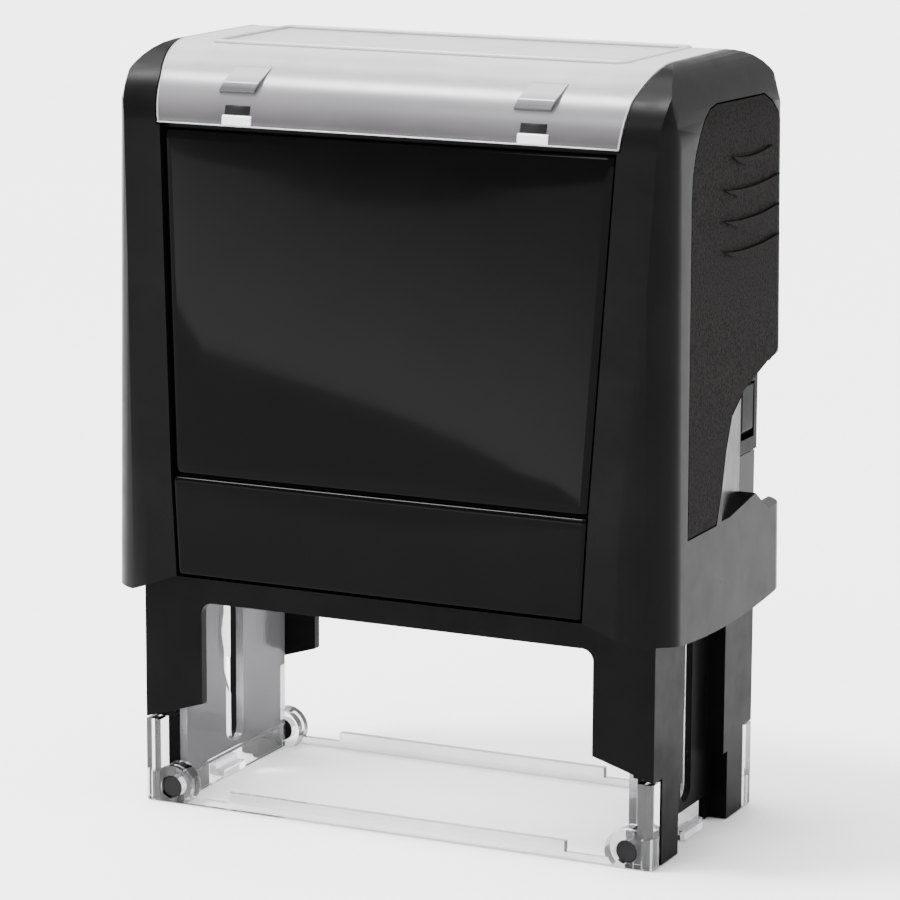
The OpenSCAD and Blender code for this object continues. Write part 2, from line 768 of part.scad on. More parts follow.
module yoke() color([0.13, 0.13, 0.14]) {
    difference() {
        union() {
            box([-arm_x - arm_t, -arm_half, yoke_z], [arm_x + arm_t, arm_half, yoke_top]);
            both_sides() {
                box([arm_x, -arm_half, axle_rest + eye_r - 1], [arm_x + arm_t, arm_half, yoke_top]);
                rod_x(arm_x, arm_x + arm_t, eye_r, 0, axle_rest);
                box([arm_x, -eye_r, axle_rest], [arm_x + arm_t, eye_r, axle_rest + eye_r]);
            }
            translate([0, 0, yoke_z - stub_h]) cylinder(h = stub_h + eps, r = spring_inside);
        }
        rod_x(-far, far, axle_r + running_gap, 0, axle_rest);
        for (x = [-yoke_hole_x, yoke_hole_x]) translate([x, 0, 0]) cylinder(h = far, r = yoke_hole_r);
    }
}

// ---------------------------------------------------------------- cover and card

recess_x = 37.8;
recess_y = 14;
latch_x = 26.6;
latch_w = 6.2;
latch_h = 0.6;
latch_low = skirt_z + 4.6;
latch_high = skirt_z + 9;
tab_w = 5;
tab_high = skirt_z + 1.8;
recess_t = 0.5;

module index_cover() color([0.7, 0.7, 0.72, 0.5]) {
    difference() {
        intersection() {
            along_x(far) polygon(side_outline(0, cap_low));
            along_y(-far, far) cover_face(0, skirt_z);
        }
        along_x(far) polygon(side_outline(cover_t, cap_low));
        box([-recess_x, -recess_y, cap_top - recess_t], [recess_x, recess_y, far]);
    }
    // Latch blocks on the front, with a tab below each
    for (x = [-latch_x, latch_x])
        intersection() {
            union() {
                box([x - latch_w / 2, -far, latch_low], [x + latch_w / 2, 0, latch_high]);
                box([x - tab_w / 2, -far, skirt_z], [x + tab_w / 2, 0, tab_high]);
            }
            difference() {
                along_x(far) polygon(side_outline(-latch_h, cap_low));
                along_x(far + 1) polygon(side_outline(cover_t - 0.2, cap_low - 1));
            }
        }
}

module index_card() color([0.93, 0.93, 0.92])
    box([-card_x, -card_y, cap_deck], [card_x, card_y, cap_deck + card_t]);

// ---------------------------------------------------------------- printing plate

holder_back = 3;
holder_over = 0.6;
holder_in = 0.2;
hub_rim = 0.4;
hub_r = lug_arm + lug_r + hub_rim;
lug_gap = 0.2;
rib_wall = 2;
holder_front = face_h - rubber_t - cushion_t;
pocket_count = 6;
pocket_pitch = (plate_w - rib_wall) / pocket_count;
pocket_half = plate_d / 4 - 2.2;
pocket_y = axle_r + 1.2 + pocket_half;

module flip_axle() color([0.72, 0.72, 0.74])
    rod_x(-arm_x - arm_t + axle_short, arm_x + arm_t - axle_short, axle_r, 0, axle_rest);

module plate_holder() color([0.15, 0.15, 0.16]) {
    difference() {
        union() {
            box([-plate_w / 2 - holder_over, -plate_d / 2 + holder_in, axle_rest - holder_back],
                [plate_w / 2 + holder_over, plate_d / 2 - holder_in, axle_rest + holder_front]);
            both_sides() {
                rod_x(plate_w / 2, hub_x, hub_r, 0, axle_rest);
                rod_x(hub_x - eps, cam_x + groove_depth - lug_gap, lug_r, 0, axle_rest - lug_arm);
            }
        }
        rod_x(-far, far, axle_r, 0, axle_rest);
        for (i = [0:pocket_count - 1])
            for (side = [-1, 1])
                translate([(i + 0.5 - pocket_count / 2) * pocket_pitch, side * pocket_y, axle_rest])
                    box([(rib_wall - pocket_pitch) / 2, -pocket_half, -far],
                        [(pocket_pitch - rib_wall) / 2, pocket_half, holder_front - rib_wall]);
    }
}

cushion_in = 0.3;

module plate_cushion() color([0.75, 0.73, 0.68])
    box([-plate_w / 2, -plate_d / 2 + cushion_in, axle_rest + holder_front],
        [plate_w / 2, plate_d / 2 - cushion_in, axle_rest + holder_front + cushion_t]);

line_count = 4;
line_w = 1.4;
line_in = 6;
line_short = 4;
border_in = 0.6;
border_w = 1;
text_pitch = (plate_d - 5) / line_count;

// Rectangle about the middle of the plate, set in by a margin
module plate_slab(margin, low, high)
    box([-plate_w / 2 + margin, -plate_d / 2 + margin, low],
        [plate_w / 2 - margin, plate_d / 2 - margin, high]);

// Rubber sheet with a raised border and plain raised bars
module rubber_plate() color([0.55, 0.2, 0.17]) {
    sheet_z = face_rest - rubber_t;
    plate_slab(0, sheet_z, face_rest - relief_h);
    difference() {
        plate_slab(border_in, sheet_z, face_rest);
        plate_slab(border_in + border_w, face_rest - relief_h, far);
    }
    for (i = [0:line_count - 1])
        let (y = (i - (line_count - 1) / 2) * text_pitch, half = plate_w / 2 - line_in - line_short * (i % 2))
            box([-half, y - line_w / 2, sheet_z], [half, y + line_w / 2, face_rest]);
}

frame_shell();
clear_base();
cam_plate_left();
cam_plate_right();
boss_plugs();
corner_feet();
spring_seat();
return_spring();
ink_tray();
ink_pad();
cartridge_handle();
lock_button_left();
lock_button_right();
cap_shell();
front_panel();
front_label_band();
back_panel();
grip_left();
grip_right();
yoke();
index_card();
index_cover();
flip_axle();
plate_holder();
plate_cushion();
rubber_plate();
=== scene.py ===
"""Looks of a self inking stamp: materials, rounded edges, detail pieces, camera, floor and light."""

import math

import bmesh
import bpy
from mathutils import Matrix, Vector


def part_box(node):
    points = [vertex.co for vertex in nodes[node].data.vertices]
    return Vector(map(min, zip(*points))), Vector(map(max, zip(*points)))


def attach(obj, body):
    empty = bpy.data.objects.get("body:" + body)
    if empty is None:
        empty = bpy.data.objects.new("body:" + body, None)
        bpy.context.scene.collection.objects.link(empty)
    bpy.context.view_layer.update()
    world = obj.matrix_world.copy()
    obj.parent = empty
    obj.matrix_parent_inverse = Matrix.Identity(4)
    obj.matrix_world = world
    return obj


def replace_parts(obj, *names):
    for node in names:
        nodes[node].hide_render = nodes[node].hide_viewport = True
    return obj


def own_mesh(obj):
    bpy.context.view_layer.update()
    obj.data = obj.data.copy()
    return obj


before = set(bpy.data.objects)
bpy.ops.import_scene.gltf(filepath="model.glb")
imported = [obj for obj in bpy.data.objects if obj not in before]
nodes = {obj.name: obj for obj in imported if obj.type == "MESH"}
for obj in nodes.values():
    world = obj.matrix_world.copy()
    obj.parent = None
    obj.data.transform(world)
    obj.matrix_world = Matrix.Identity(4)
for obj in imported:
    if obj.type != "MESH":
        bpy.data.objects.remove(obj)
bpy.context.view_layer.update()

MM = 0.001

# Every noise is stretched from this share of its range, where nearly all of its values lie.
NOISE_LOW, NOISE_HIGH = 0.3, 0.7
# Where the darker and the lighter of two shades end on that noise.
DARK_STOP, LIGHT_STOP = 0.35, 0.68


# ---------------------------------------------------------------- materials

def new_material(name):
    """A material with its node tree and its shader."""
    mat = bpy.data.materials.new(name)
    mat.use_nodes = True
    tree = mat.node_tree
    return mat, tree, tree.nodes["Principled BSDF"]


def noise(tree, scale, detail=4.0, rough=0.6):
    """A noise texture in the object's own metres."""
    coords = tree.nodes.new("ShaderNodeTexCoord")
    tex = tree.nodes.new("ShaderNodeTexNoise")
    tex.inputs["Scale"].default_value = scale
    tex.inputs["Detail"].default_value = detail
    tex.inputs["Roughness"].default_value = rough
    tree.links.new(coords.outputs["Object"], tex.inputs["Vector"])
    return tex.outputs["Fac"]


def spread(tree, source, low, high):
    """Maps a noise to a range."""
    node = tree.nodes.new("ShaderNodeMapRange")
    node.inputs["From Min"].default_value = NOISE_LOW
    node.inputs["From Max"].default_value = NOISE_HIGH
    node.inputs["To Min"].default_value = low
    node.inputs["To Max"].default_value = high
    tree.links.new(source, node.inputs["Value"])
    return node.outputs["Result"]


def two_colours(tree, source, dark, light, shader):
    """Colours a surface between two shades by a texture, and returns the ramp."""
    ramp = tree.nodes.new("ShaderNodeValToRGB")
    ramp.color_ramp.elements[0].position = DARK_STOP
    ramp.color_ramp.elements[0].color = (*dark, 1)
    ramp.color_ramp.elements[1].position = LIGHT_STOP
    ramp.color_ramp.elements[1].color = (*light, 1)
    tree.links.new(source, ramp.inputs["Fac"])
    tree.links.new(ramp.outputs["Color"], shader.inputs["Base Color"])
    return ramp.color_ramp


def bump(tree, source, strength, distance, shader):
    """Roughens a surface by a texture, to a depth in metres."""
    node = tree.nodes.new("ShaderNodeBump")
    node.inputs["Strength"].default_value = strength
    node.inputs["Distance"].default_value = distance
    tree.links.new(source, node.inputs["Height"])
    tree.links.new(node.outputs["Normal"], shader.inputs["Normal"])


def plastic(name, dark, light, rough, grain, grain_size, depth, ior):
    """Moulded plastic: two close shades, uneven gloss and a fine grain."""
    mat, tree, shader = new_material(name)
    two_colours(tree, noise(tree, 90), dark, light, shader)
    tree.links.new(spread(tree, noise(tree, 160), rough * 0.85, rough * 1.15), shader.inputs["Roughness"])
    bump(tree, noise(tree, grain_size, 3), grain, depth, shader)
    shader.inputs["IOR"].default_value = ior
    return mat


def clear_plastic(name, colour, rough, transmission, grain, ior):
    """Clear moulded plastic with faint flow marks."""
    mat, tree, shader = new_material(name)
    two_colours(tree, noise(tree, 60), tuple(c * 0.9 for c in colour), colour, shader)
    tree.links.new(spread(tree, noise(tree, 220), rough * 0.8, rough * 1.2), shader.inputs["Roughness"])
    bump(tree, noise(tree, 300, 1), grain, 0.00003, shader)
    shader.inputs["Transmission Weight"].default_value = transmission
    shader.inputs["IOR"].default_value = ior
    return mat


def smoky_plastic_with_painted_shade(name, low, high, dark, light, rough, transmission, top=None):
    """Frosted smoky plastic with painted shade: darker near a lower height than near a higher one, with an
    even paler top painted as light falling from above.
    """
    mat, tree, shader = new_material(name)
    coords = tree.nodes.new("ShaderNodeTexCoord")
    apart = tree.nodes.new("ShaderNodeSeparateXYZ")
    tree.links.new(coords.outputs["Object"], apart.inputs["Vector"])
    height = tree.nodes.new("ShaderNodeMapRange")
    height.inputs["From Min"].default_value = low
    height.inputs["From Max"].default_value = high
    tree.links.new(apart.outputs["Z"], height.inputs["Value"])
    mottle = tree.nodes.new("ShaderNodeMath")
    mottle.operation = "MULTIPLY_ADD"
    mottle.inputs[1].default_value = 0.1
    tree.links.new(spread(tree, noise(tree, 45, 3), -0.5, 0.5), mottle.inputs[0])
    tree.links.new(height.outputs["Result"], mottle.inputs[2])
    ramp = two_colours(tree, mottle.outputs["Value"], dark, light, shader)
    ramp.elements[0].position = 0.05
    ramp.elements[1].position = 0.95
    # The paler top is painted light, where the light from above falls on the cover.
    if top:
        ramp.elements.new(0.95).color = (*top, 1)
        ramp.elements[1].position = 0.72
    tree.links.new(spread(tree, noise(tree, 220), rough * 0.9, rough * 1.1), shader.inputs["Roughness"])
    bump(tree, noise(tree, 3000, 2), 0.12, 0.00003, shader)
    shader.inputs["Transmission Weight"].default_value = transmission
    shader.inputs["IOR"].default_value = 1.35
    return mat


def soft_grip(name):
    """Speckled soft-touch plastic with a pebbled skin."""
    mat, tree, shader = new_material(name)
    pebble_size, pebble_detail = 2400, 2
    two_colours(tree, noise(tree, pebble_size, pebble_detail), (0.0012, 0.00105, 0.001),
                (0.0135, 0.0118, 0.0114), shader)
    shader.inputs["Roughness"].default_value = 0.6
    bump(tree, noise(tree, pebble_size, pebble_detail), 0.6, 0.00015, shader)
    shader.inputs["IOR"].default_value = 1.06
    return mat


def metal(name, colour, rough):
    """Drawn wire or rod with uneven gloss."""
    mat, tree, shader = new_material(name)
    two_colours(tree, noise(tree, 500), tuple(c * 0.85 for c in colour), colour, shader)
    tree.links.new(spread(tree, noise(tree, 900), rough * 0.8, rough * 1.3), shader.inputs["Roughness"])
    shader.inputs["Metallic"].default_value = 1.0
    return mat


def matt(name, dark, light, scale, grain, depth, rough=0.85):
    """Felt, foam, rubber or card."""
    mat, tree, shader = new_material(name)
    two_colours(tree, noise(tree, scale), dark, light, shader)
    shader.inputs["Roughness"].default_value = rough
    bump(tree, noise(tree, scale * 2, 5), grain, depth, shader)
    return mat


# The blacks are kept low in colour and in refraction, because the white studio lifts every reflection.
BLACK = plastic("satin black plastic", (0.0016, 0.0016, 0.0018), (0.0026, 0.0026, 0.0028),
                rough=0.32, grain=0.16, grain_size=2600, depth=0.00003, ior=1.12)
FRAME_BLACK = plastic("frame black plastic", (0.0018, 0.0018, 0.002), (0.003, 0.003, 0.0032),
                      rough=0.4, grain=0.15, grain_size=2200, depth=0.00002, ior=1.105)
GLOSS = plastic("gloss black plastic", (0.0005, 0.0005, 0.0006), (0.0008, 0.0008, 0.0009),
                rough=0.06, grain=0.01, grain_size=120, depth=0.00003, ior=1.12)
INNER = plastic("inner black plastic", (0.006, 0.006, 0.0065), (0.01, 0.01, 0.011),
                rough=0.5, grain=0.2, grain_size=1800, depth=0.00005, ior=1.2)
CLEAR = clear_plastic("clear plastic", (0.74, 0.74, 0.76), rough=0.03, transmission=1.0, grain=0.03, ior=1.42)
MILKY = clear_plastic("milky clear plastic", (0.62, 0.61, 0.64), rough=0.12, transmission=0.93, grain=0.2,
                      ior=1.17)
GRIP = soft_grip("soft grip")
STEEL = metal("drawn steel", (0.62, 0.62, 0.64), rough=0.28)
INK = matt("inked felt", (0.006, 0.006, 0.03), (0.02, 0.02, 0.06), scale=1800, grain=0.7, depth=0.0002,
           rough=0.7)
FOAM = matt("foam", (0.42, 0.40, 0.36), (0.55, 0.53, 0.48), scale=1500, grain=0.6, depth=0.0002)
RUBBER = matt("red rubber", (0.22, 0.05, 0.035), (0.32, 0.08, 0.055), scale=700, grain=0.25, depth=0.0001,
              rough=0.6)
CARD = matt("white card", (0.78, 0.78, 0.77), (0.85, 0.85, 0.84), scale=900, grain=0.2, depth=0.00005)
FOOT = matt("black rubber", (0.008, 0.008, 0.008), (0.014, 0.014, 0.014), scale=900, grain=0.08,
            depth=0.00005)

LOOKS = {
    "frame_shell": FRAME_BLACK, "clear_base": CLEAR, "cam_plate_left": MILKY, "cam_plate_right": MILKY,
    "boss_plugs": INNER, "corner_feet": FOOT, "spring_seat": INNER, "return_spring": STEEL,
    "ink_tray": INNER, "ink_pad": INK, "cartridge_handle": GLOSS,
    "lock_button_left": FRAME_BLACK, "lock_button_right": FRAME_BLACK,
    "cap_shell": BLACK, "front_panel": GLOSS, "front_label_band": GLOSS, "back_panel": GLOSS,
    "grip_left": GRIP, "grip_right": GRIP, "yoke": INNER, "index_card": CARD, "index_cover": CLEAR,
    "flip_axle": STEEL, "plate_holder": INNER, "plate_cushion": FOAM, "rubber_plate": RUBBER,
}


# Edges sharper than this many degrees are rounded.
EDGE_ANGLE = 30


def paint(obj, mat):
    """Gives a piece one material."""
    obj.data.materials.clear()
    obj.data.materials.append(mat)


def bevel_edges(obj, width, angle):
    """Rounds the edges that are sharper than an angle in degrees."""
    bevel = obj.modifiers.new("edge", "BEVEL")
    bevel.width = width
    bevel.segments = 3
    bevel.limit_method = "ANGLE"
    bevel.angle_limit = math.radians(angle)
    return bevel


def round_edges(obj, width):
    """Rounds the hard edges of a CAD node with modifiers, so its own mesh stays as it is."""
    weld = obj.modifiers.new("weld", "WELD")
    weld.merge_threshold = 0.00001
    flat = obj.modifiers.new("flat faces", "DECIMATE")
    flat.decimate_type = "DISSOLVE"
    flat.angle_limit = math.radians(0.4)
    bevel_edges(obj, width, EDGE_ANGLE).use_clamp_overlap = True
    for poly in obj.data.polygons:
        poly.use_smooth = True
    shade = obj.modifiers.new("shading", "WEIGHTED_NORMAL")
    shade.mode = "FACE_AREA_WITH_ANGLE"
    shade.weight = 90


# How far, in mm, the edges of each node are rounded. The grips are left out: their rear edge is too thin.
ROUNDING = {
    "cap_shell": 0.7, "frame_shell": 0.35, "clear_base": 0.3, "cartridge_handle": 0.4,
    "lock_button_left": 0.3, "lock_button_right": 0.3, "plate_holder": 0.3, "yoke": 0.4,
    "ink_tray": 0.3, "ink_pad": 0.5, "rubber_plate": 0.15, "plate_cushion": 0.2, "corner_feet": 0.3,
    "boss_plugs": 0.25, "cam_plate_left": 0.15, "cam_plate_right": 0.15, "spring_seat": 0.3,
    "index_card": 0.1, "flip_axle": 0.3,
}

for name, look in LOOKS.items():
    paint(nodes[name], look)
for name, width in ROUNDING.items():
    round_edges(nodes[name], width * MM)


# ---------------------------------------------------------------- pieces built here

def add_piece(name, verts, faces, mat, body):
    """A closed mesh piece that rides on a CAD body."""
    mesh = bpy.data.meshes.new(name)
    mesh.from_pydata(verts, [], faces)
    obj = bpy.data.objects.new(name, mesh)
    bpy.context.collection.objects.link(obj)
    work = bmesh.new()
    work.from_mesh(mesh)
    bmesh.ops.recalc_face_normals(work, faces=work.faces)
    work.to_mesh(mesh)
    work.free()
    for poly in mesh.polygons:
        poly.use_smooth = True
    paint(obj, mat)
    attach(obj, body)
    return obj


def closed_sheet(columns, rows, outer, inner):
    """Vertices and faces of a slab between two surfaces given on the same grid, with a wall round its rim."""
    verts = [outer(i, j) for j in range(rows) for i in range(columns)]
    verts += [inner(i, j) for j in range(rows) for i in range(columns)]
    count = columns * rows
    faces = []
    for j in range(rows - 1):
        for i in range(columns - 1):
            a = j * columns + i
            faces.append((a, a + 1, a + 1 + columns, a + columns))
            faces.append(tuple(count + k for k in (a + columns, a + 1 + columns, a + 1, a)))
    rim = list(range(columns)) + [(j + 1) * columns - 1 for j in range(1, rows)]
    rim += [(rows - 1) * columns + i for i in range(columns - 2, -1, -1)]
    rim += [j * columns for j in range(rows - 2, 0, -1)]
    for k, a in enumerate(rim):
        b = rim[(k + 1) % len(rim)]
        faces.append((a, count + a, count + b, b))
    return verts, faces


def edge_lines(length, border, count, border_steps=7):
    """Places across a length: close together near both ends, even between them."""
    near = [border * (1 - math.cos(math.pi / 2 * k / border_steps)) for k in range(border_steps + 1)]
    middle = [border + (length - 2 * border) * k / count for k in range(1, count)]
    return near + middle + [length - d for d in reversed(near)]


def rounded_drop(distance, width, depth):
    """How far a surface falls back at a distance from its border: an ellipse's quarter."""
    if distance >= width:
        return 0.0
    across = 1 - distance / width
    return depth * (1 - math.sqrt(max(0.0, 1 - across * across)))


def crowned_panel(name, node, facing, border, drop, crown, thickness):
    """A glossy panel over a CAD panel's outer face, crowned, with rounded borders."""
    points = [v.co.copy() for v in nodes[node].data.vertices]
    low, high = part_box(node)
    same_height, same_face = 0.02 * MM, 0.05 * MM
    deepest_fall = 0.8

    def outer_corner(z, side):
        row = [p for p in points if abs(p.z - z) < same_height and p.x * side > 0]
        front = max(p.y * facing for p in row)
        return max((p for p in row if p.y * facing > front - same_face), key=lambda p: abs(p.x))

    corners = [[outer_corner(z, side) for side in (-1, 1)] for z in (low.z, high.z)]
    across, upward = 16, 12
    xs = edge_lines(1.0, border / (high.x - low.x), across)
    zs = edge_lines(1.0, border / (high.z - low.z), upward)

    def surface(i, j, back):
        u, v = xs[i], zs[j]
        left = corners[0][0].lerp(corners[1][0], v)
        right = corners[0][1].lerp(corners[1][1], v)
        p = left.lerp(right, u)
        to_side = min(u, 1 - u) * (right - left).length
        to_end = min(v, 1 - v) * (high.z - low.z)
        fall = rounded_drop(to_side, border, drop) + rounded_drop(to_end, border, drop)
        rise = crown * (1 - (2 * u - 1) ** 2) * (1 - (2 * v - 1) ** 2)
        depth = thickness if back else min(fall, thickness * deepest_fall) - rise
        return p - Vector((0, facing * depth, 0))

    verts, faces = closed_sheet(len(xs), len(zs), lambda i, j: surface(i, j, False),
                                lambda i, j: surface(i, j, True))
    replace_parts(add_piece(name, verts, faces, GLOSS, "cap"), node)


# How far the cover's lower edge stands back from the cap's front, how deep its rounded front and back run,
# and half its width along the lower edge.
COVER_SET_BACK, COVER_RUN, COVER_HALF_LOW = 2.7 * MM, 15.4 * MM, 41.7 * MM
# The cover's wall, and the half sizes and depth of the recess in its top.
COVER_WALL = 1.4 * MM
RECESS_HALF_X, RECESS_HALF_Y, RECESS_DEPTH = 37.8 * MM, 14 * MM, 0.55 * MM
TUBE_SIDES = 10
# The share of the cover's rise below which its ends lean less than above it.
LEAN_CHANGE = 0.6


def smooth_step(value):
    """Eases from 0 to 1."""
    value = min(1.0, max(0.0, value))
    return value * value * (3 - 2 * value)


def frosted_cover():
    """The clear cover over the index card: an arched shell with a rimmed recess on its top."""
    low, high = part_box("index_cover")
    rise = high.z - low.z
    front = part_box("cap_shell")[1].y - COVER_SET_BACK
    run = COVER_RUN
    flat = front - run
    half_low, half_high = COVER_HALF_LOW, high.x
    arc_steps, flat_steps = 18, 20

    def profile(inset):
        arc = [(-flat - (run - inset) * math.cos(math.pi / 2 * k / arc_steps),
                low.z + (rise - inset) * math.sin(math.pi / 2 * k / arc_steps)) for k in range(arc_steps + 1)]
        top = [(-flat + 2 * flat * k / flat_steps, low.z + rise - inset) for k in range(1, flat_steps)]
        return arc + top + [(-y, z) for y, z in reversed(arc)]

    outside, inside = profile(0), profile(COVER_WALL)
    step, top_band = 0.8 * MM, 1.2 * MM
    end_share, columns = 0.03, 30
    xs = edge_lines(1.0, end_share, columns)

    def half_width(z):
        share = (z - low.z) / rise
        if share < LEAN_CHANGE:
            lean = share / (3 * LEAN_CHANGE)
        else:
            lean = 1 / 3 + (share - LEAN_CHANGE) / LEAN_CHANGE
        return half_low + (half_high - half_low) * lean

    def place(i, j, line):
        y, z = line[j]
        half = half_width(outside[j][1])
        return Vector(((2 * xs[i] - 1) * half, y, z))

    def outer(i, j):
        p = place(i, j, outside)
        if p.z > high.z - top_band:
            inward = min(RECESS_HALF_X - abs(p.x), RECESS_HALF_Y - abs(p.y))
            p.z -= RECESS_DEPTH * smooth_step(inward / step)
        return p

    verts, faces = closed_sheet(len(xs), len(outside), outer, lambda i, j: place(i, j, inside))
    cover = add_piece("frosted_cover", verts, faces, SMOKY_WITH_PAINTED_SHADE, "cover")
    bevel_edges(cover, 0.3 * MM, 50)
    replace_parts(cover, "index_cover")
    recess_rim(high.z)
    cover_rim([(y, z, half_width(z)) for y, z in outside], low.z)
    for side in (-1, 1):
        latch(side, flat, run, low.z, rise)


def cover_rim(outline, bottom):
    """Thin glossy bead along the cover's lower edges and up its two ends, coloured lighter than the cover as
    a painted highlight.
    """
    radius, proud, sunk = 0.14 * MM, 0.05 * MM, 0.15 * MM
    steps = 20
    y, _, half = outline[0]
    for word, facing in (("front", 1), ("back", -1)):
        line = [Vector((-half + 2 * half * k / steps, facing * (y - proud), bottom + radius))
                for k in range(steps + 1)]
        verts, faces = tube(line, radius, TUBE_SIDES)
        add_piece("cover_edge_highlight_" + word, verts, faces, EDGE_PAINTED_HIGHLIGHT, "cover")
    for word, side in (("left", -1), ("right", 1)):
        line = [Vector((side * (half - sunk), y, max(z, bottom + radius) - proud)) for y, z, half in outline]
        verts, faces = tube(line, radius, TUBE_SIDES, upright=True)
        add_piece("cover_end_highlight_" + word, verts, faces, EDGE_PAINTED_HIGHLIGHT, "cover")


def recess_rim(top):
    """Rounded bead around the recess on the cover's top."""
    radius, corner, sunk = 0.45 * MM, 1.6 * MM, 0.25 * MM
    corner_steps = 6
    path = []
    for cx, cy, start in ((1, 1, 0), (-1, 1, 90), (-1, -1, 180), (1, -1, 270)):
        for k in range(corner_steps + 1):
            a = math.radians(start + 90 / corner_steps * k)
            path.append(Vector((cx * (RECESS_HALF_X - corner) + corner * math.cos(a),
                                cy * (RECESS_HALF_Y - corner) + corner * math.sin(a), top - sunk)))
    sides = TUBE_SIDES
    verts, faces = [], []
    for k, p in enumerate(path):
        ahead = (path[(k + 1) % len(path)] - path[k - 1]).normalized()
        outward = Vector((ahead.y, -ahead.x, 0))
        for m in range(sides):
            a = 2 * math.pi * m / sides
            verts.append(p + outward * radius * math.cos(a) + Vector((0, 0, radius * math.sin(a))))
    for k in range(len(path)):
        ahead = (k + 1) % len(path)
        for m in range(sides):
            n = (m + 1) % sides
            faces.append((k * sides + m, k * sides + n, ahead * sides + n, ahead * sides + m))
    add_piece("cover_recess_rim", verts, faces, SMOKY_WITH_PAINTED_SHADE, "cover")


# Rows of a latch, a tab and a slot up the cover's front, the slot being a thin dark plate painted as the
# shade in it:
# height above the cover's lower edge and how far the row stands out from the cover's skin, both in mm.
LATCH_ROWS = ((5.4, 0.05), (5.8, 0.7), (7.0, 1.0), (7.4, 0.95), (9.3, 0.35), (9.6, 0.05))
TAB_ROWS = ((0.15, 0.12), (0.5, 0.28), (1.6, 0.28), (1.9, 0.1))
SLOT_SHADE_ROWS = ((2.0, 0.02), (2.2, 0.1), (3.3, 0.1), (3.5, 0.02))
LATCH_FROM_MIDDLE, LATCH_HALF, TAB_HALF, SLOT_SHADE_HALF = 26.75 * MM, 3.3 * MM, 2.7 * MM, 2.3 * MM
# A latch leans sideways by this much over the 2 mm above its tip's height.
LATCH_SHEAR, LATCH_TIP = 0.7 * MM, 7.4
LATCH_SUNK, TAB_SUNK = 0.4 * MM, 0.3 * MM


def latch(side, flat, run, base, rise):
    """Wedge moulded on the cover's front, with the slot and the snap tab that hold the cover below it. The
    slot is a thin dark plate painted as its shade.
    """
    def skin(z, out):
        up = math.sqrt(max(0.0, 1 - ((z - base) / rise) ** 2))
        return -(flat + run * up) - out

    middle = side * LATCH_FROM_MIDDLE
    word = "left" if side < 0 else "right"

    def wedge_rows(sink):
        row_points = []
        for z_mm, out_mm in LATCH_ROWS:
            z = base + z_mm * MM
            out = -LATCH_SUNK if sink else out_mm * MM
            lean = LATCH_SHEAR * (z_mm - LATCH_TIP) / 2
            for x in (-LATCH_HALF, LATCH_HALF):
                row_points.append(Vector((middle + x + lean, skin(z, out), z)))
        return row_points

    def plate(half, columns, rows):
        def place(i, j, out):
            z = base + rows[j][0] * MM
            return Vector((middle + half * (2 * i / (columns - 1) - 1), skin(z, out), z))

        return closed_sheet(columns, len(rows), lambda i, j: place(i, j, rows[j][1] * MM),
                            lambda i, j: place(i, j, -TAB_SUNK))

    n = 2 * len(LATCH_ROWS)
    faces = [(2 * k, 2 * k + 1, 2 * k + 3, 2 * k + 2) for k in range(len(LATCH_ROWS) - 1)]
    faces += [(n + 2 * k + 2, n + 2 * k + 3, n + 2 * k + 1, n + 2 * k) for k in range(len(LATCH_ROWS) - 1)]
    for k in range(len(LATCH_ROWS) - 1):
        faces.append((2 * k, 2 * k + 2, n + 2 * k + 2, n + 2 * k))
        faces.append((2 * k + 1, n + 2 * k + 1, n + 2 * k + 3, 2 * k + 3))
    faces += [(0, n, n + 1, 1), (n - 2, n - 1, 2 * n - 1, 2 * n - 2)]
    verts = wedge_rows(False) + wedge_rows(True)
    wedge = add_piece("cover_latch_" + word, verts, faces, LATCH_WITH_PAINTED_SHADE, "cover")
    soften(wedge, 0.25 * MM)
    # The slot is a thin dark plate painted as the shade inside it.
    verts, faces = plate(SLOT_SHADE_HALF, 3, SLOT_SHADE_ROWS)
    add_piece("cover_slot_shade_" + word, verts, faces, INNER, "cover")
    verts, faces = plate(TAB_HALF, 5, TAB_ROWS)
    tab = add_piece("cover_tab_" + word, verts, faces, TAB, "cover")
    soften(tab, 0.12 * MM)


def soften(obj, width):
    """Rounds the edges of a small moulded piece and keeps its flats flat."""
    bevel_edges(obj, width, EDGE_ANGLE)
    shade = obj.modifiers.new("shading", "WEIGHTED_NORMAL")
    shade.weight = 80


COVER_LOW, COVER_HIGH = (corner.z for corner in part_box("index_cover"))
# The cover is painted with shade, darker towards its lower edge, and with painted light on its flat top.
SMOKY_WITH_PAINTED_SHADE = smoky_plastic_with_painted_shade("smoky frosted plastic with painted shade", COVER_LOW, COVER_HIGH,
                      (0.055, 0.049, 0.056), (0.235, 0.228, 0.242), rough=0.24, transmission=0.35,
                      top=(0.52, 0.52, 0.53))
# The latch is painted darker on its lower half, as shade under the wedge.
LATCH_WITH_PAINTED_SHADE = smoky_plastic_with_painted_shade("latch plastic with painted shade", COVER_LOW + 6.2 * MM, COVER_LOW + 8.4 * MM,
                      (0.06, 0.055, 0.062), (0.26, 0.255, 0.27), rough=0.24, transmission=0.2)
# The bead is painted lighter than the cover, as the highlight along its edges.
EDGE_PAINTED_HIGHLIGHT = clear_plastic("glossy cover edge with painted highlight", (0.42, 0.42, 0.43), rough=0.08, transmission=0.3, grain=0.02,
                       ior=1.5)
TAB = clear_plastic("tab plastic", (0.80, 0.80, 0.82), rough=0.25, transmission=0.2, grain=0.05, ior=1.4)


